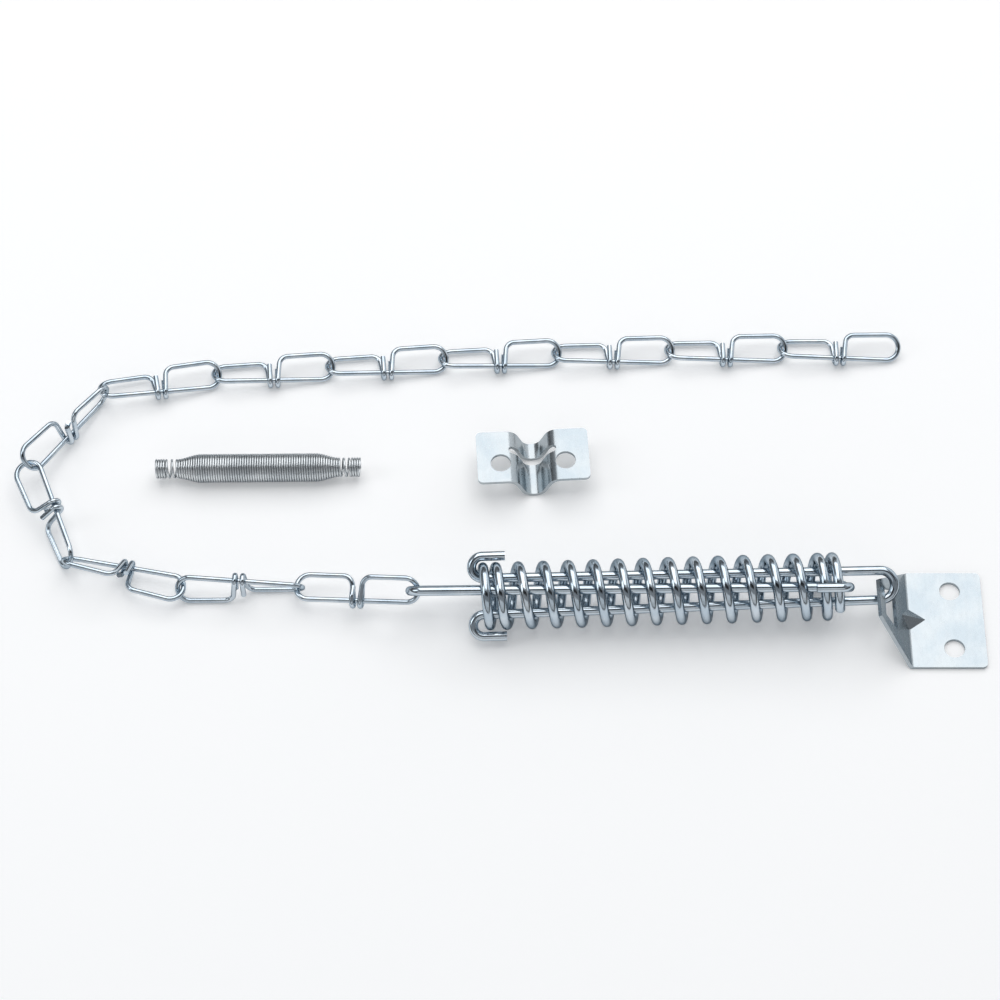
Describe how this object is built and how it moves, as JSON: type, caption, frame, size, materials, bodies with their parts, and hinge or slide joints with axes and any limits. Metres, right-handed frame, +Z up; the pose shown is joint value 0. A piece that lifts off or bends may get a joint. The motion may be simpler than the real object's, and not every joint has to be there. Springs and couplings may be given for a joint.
{
  "type": "door chain stop",
  "caption": "Door chain stop laid flat: slotted frame bracket, hooked drawbars in a compression spring, double-loop chain, door bracket and small retainer spring.",
  "frame": {"origin": "midway between the frame bracket's two screw holes, on its wall side", "axes": "+X from the chain's U towards the frame bracket, +Y away from the viewer, +Z up from the table"},
  "size_m": [0.2449, 0.0987, 0.0194],
  "materials": {
    "zinc_link_wire": "bright zinc-plated round wire",
    "zinc_drawbar_wire": "bright zinc-plated round wire with a faint blue tint",
    "zinc_spring_wire": "zinc-plated spring wire, slightly greyer",
    "zinc_fine_wire": "fine close-wound spring wire",
    "zinc_plate": "zinc-plated sheet steel, satin with faint mottling"
  },
  "bodies": {
    "frame_bracket": {"frame_bracket": "zinc_plate"},
    "frame_drawbar": {"drawbar_frame_side": "zinc_drawbar_wire", "compression_spring": "zinc_spring_wire"},
    "chain_drawbar": {"drawbar_chain_side": "zinc_drawbar_wire"},
    "chain_link_01": {"chain_link_01": "zinc_link_wire"},
    "chain_link_02": {"chain_link_02": "zinc_link_wire"},
    "chain_link_03": {"chain_link_03": "zinc_link_wire"},
    "chain_link_04": {"chain_link_04": "zinc_link_wire"},
    "chain_link_05": {"chain_link_05": "zinc_link_wire"},
    "chain_link_06": {"chain_link_06": "zinc_link_wire"},
    "chain_link_07": {"chain_link_07": "zinc_link_wire"},
    "chain_link_08": {"chain_link_08": "zinc_link_wire"},
    "chain_link_09": {"chain_link_09": "zinc_link_wire"},
    "chain_link_10": {"chain_link_10": "zinc_link_wire"},
    "chain_link_11": {"chain_link_11": "zinc_link_wire"},
    "chain_link_12": {"chain_link_12": "zinc_link_wire"},
    "door_bracket": {"door_bracket": "zinc_plate"},
    "retainer_spring": {"retainer_spring": "zinc_fine_wire"}
  },
  "joints": [
    {"name": "drawbar_swing", "type": "hinge", "parent": "frame_bracket", "child": "frame_drawbar", "pos_m": [-0.01845, 0, 0.01059], "axis": [0, 1, 0], "range_deg": [-60, 8]},
    {"name": "spring_stroke", "type": "slide", "parent": "frame_drawbar", "child": "chain_drawbar", "axis": [-0.9996, -0.0244, -0.0148], "range_m": [0, 0.03], "stiffness_N_per_m": 1500, "deforming": ["compression_spring"]},
    {"name": "link_01_swing", "type": "hinge", "parent": "chain_drawbar", "child": "chain_link_01", "pos_m": [-0.13517, 0.00368, 0.00897], "axis": [0.1009, 0.5283, -0.8431], "range_deg": [-50, 35]},
    {"name": "link_02_swing", "type": "hinge", "parent": "chain_link_01", "child": "chain_link_02", "pos_m": [-0.16383, 0.00744, 0.00431], "axis": [0.0597, 0.9965, 0.0593], "range_deg": [-60, 60]},
    {"name": "link_03_swing", "type": "hinge", "parent": "chain_link_02", "child": "chain_link_03", "pos_m": [-0.19212, 0.00743, 0.00382], "axis": [-0.1308, -0.9864, -0.0999], "range_deg": [-60, 60]},
    {"name": "link_04_swing", "type": "hinge", "parent": "chain_link_03", "child": "chain_link_04", "pos_m": [-0.22218, 0.01562, 0.00427], "axis": [-0.3893, -0.5444, 0.743], "range_deg": [-10, 55]},
    {"name": "link_05_swing", "type": "hinge", "parent": "chain_link_04", "child": "chain_link_05", "pos_m": [-0.23276, 0.04308, 0.00663], "axis": [-0.9848, 0.0945, -0.1458], "range_deg": [-60, 15]},
    {"name": "link_06_swing", "type": "hinge", "parent": "chain_link_05", "child": "chain_link_06", "pos_m": [-0.21672, 0.06623, 0.00418], "axis": [-0.5239, 0.7752, -0.3529], "range_deg": [-60, 50]},
    {"name": "link_07_swing", "type": "hinge", "parent": "chain_link_06", "child": "chain_link_07", "pos_m": [-0.18793, 0.07293, 0.00258], "axis": [-0.1325, 0.9112, -0.3901], "range_deg": [-60, 30]},
    {"name": "link_08_swing", "type": "hinge", "parent": "chain_link_07", "child": "chain_link_08", "pos_m": [-0.15825, 0.07555, 0.00251], "axis": [0.0745, -0.9175, 0.3907], "range_deg": [-40, 60]},
    {"name": "link_09_swing", "type": "hinge", "parent": "chain_link_08", "child": "chain_link_09", "pos_m": [-0.12854, 0.07794, 0.00252], "axis": [-0.0655, 0.9182, -0.3907], "range_deg": [-60, 40]},
    {"name": "link_10_swing", "type": "hinge", "parent": "chain_link_09", "child": "chain_link_10", "pos_m": [-0.0988, 0.07982, 0.00251], "axis": [0.0414, -0.9196, 0.3907], "range_deg": [-40, 60]},
    {"name": "link_11_swing", "type": "hinge", "parent": "chain_link_10", "child": "chain_link_11", "pos_m": [-0.06902, 0.0807, 0.0025], "axis": [-0.0213, 0.9203, -0.3907], "range_deg": [-60, 40]},
    {"name": "link_12_swing", "type": "hinge", "parent": "chain_link_11", "child": "chain_link_12", "pos_m": [-0.03922, 0.08128, 0.00252], "axis": [0.0133, -0.9204, 0.3907], "range_deg": [-40, 60]},
    {"name": "door_bracket_lift", "type": "slide", "parent": "frame_bracket", "child": "door_bracket", "axis": [0, 0, 1], "range_m": [0, 0.03]},
    {"name": "retainer_spring_lift", "type": "slide", "parent": "frame_bracket", "child": "retainer_spring", "axis": [0, 0, 1], "range_m": [0, 0.03]}
  ]
}
